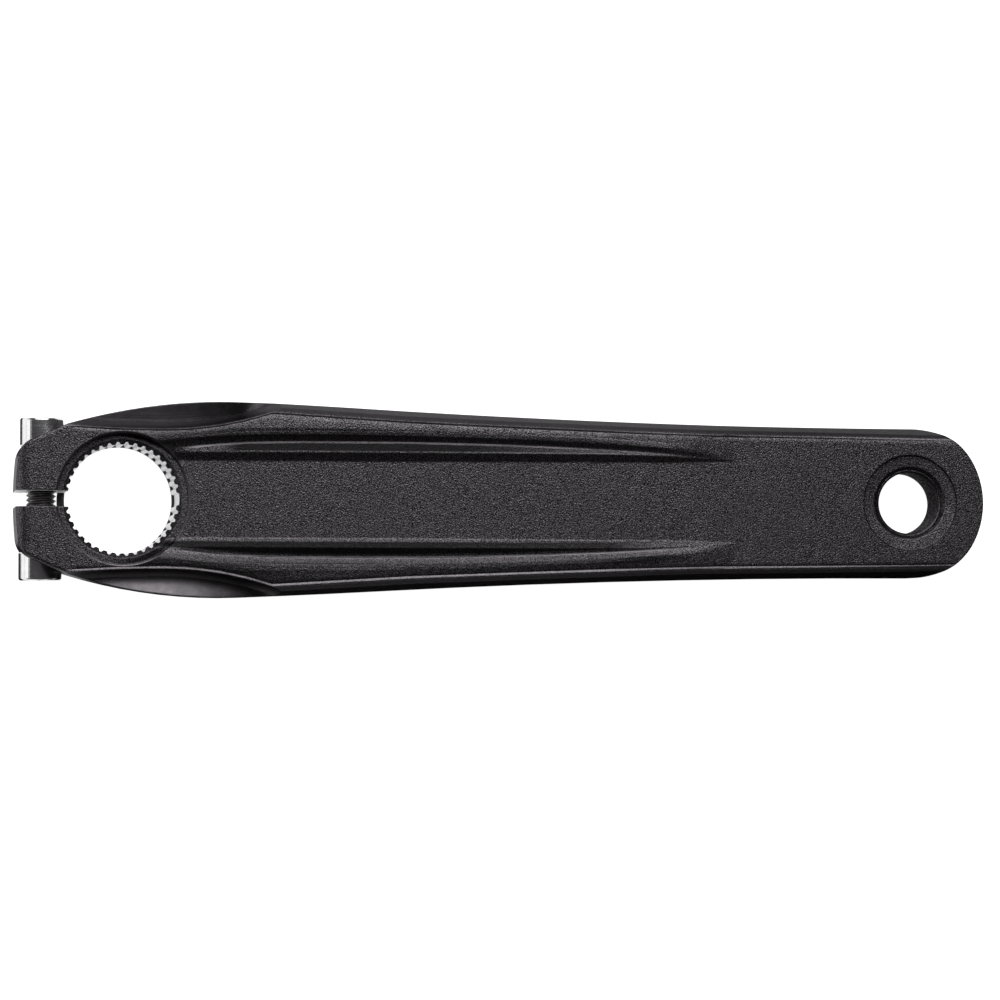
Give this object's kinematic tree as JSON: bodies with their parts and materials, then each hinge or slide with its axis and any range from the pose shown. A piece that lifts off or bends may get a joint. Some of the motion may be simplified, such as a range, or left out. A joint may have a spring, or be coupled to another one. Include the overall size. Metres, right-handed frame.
{
  "type": "bicycle crank arm",
  "caption": "Tapered bicycle crank arm with a split, splined spindle clamp closed by opposed screws, raised rails along its outer face and a threaded pedal eye.",
  "frame": {"origin": "on the spindle axis, halfway through the thickness of the clamp", "axes": "+X from the spindle axis towards the pedal axis, +Y across the arm, +Z out of the outer face"},
  "size_m": [0.2086, 0.0412, 0.021],
  "materials": {
    "arm_coat": "dark grey bead-blasted coat, bare metal on the splines and in the slot",
    "screw_steel": "polished",
    "ring_plastic": "matt black"
  },
  "bodies": {
    "root": {"crank_arm": "arm_coat", "clamp_bolt_upper": "screw_steel", "clamp_bolt_lower": "screw_steel", "dust_ring": "ring_plastic"}
  },
  "joints": []
}
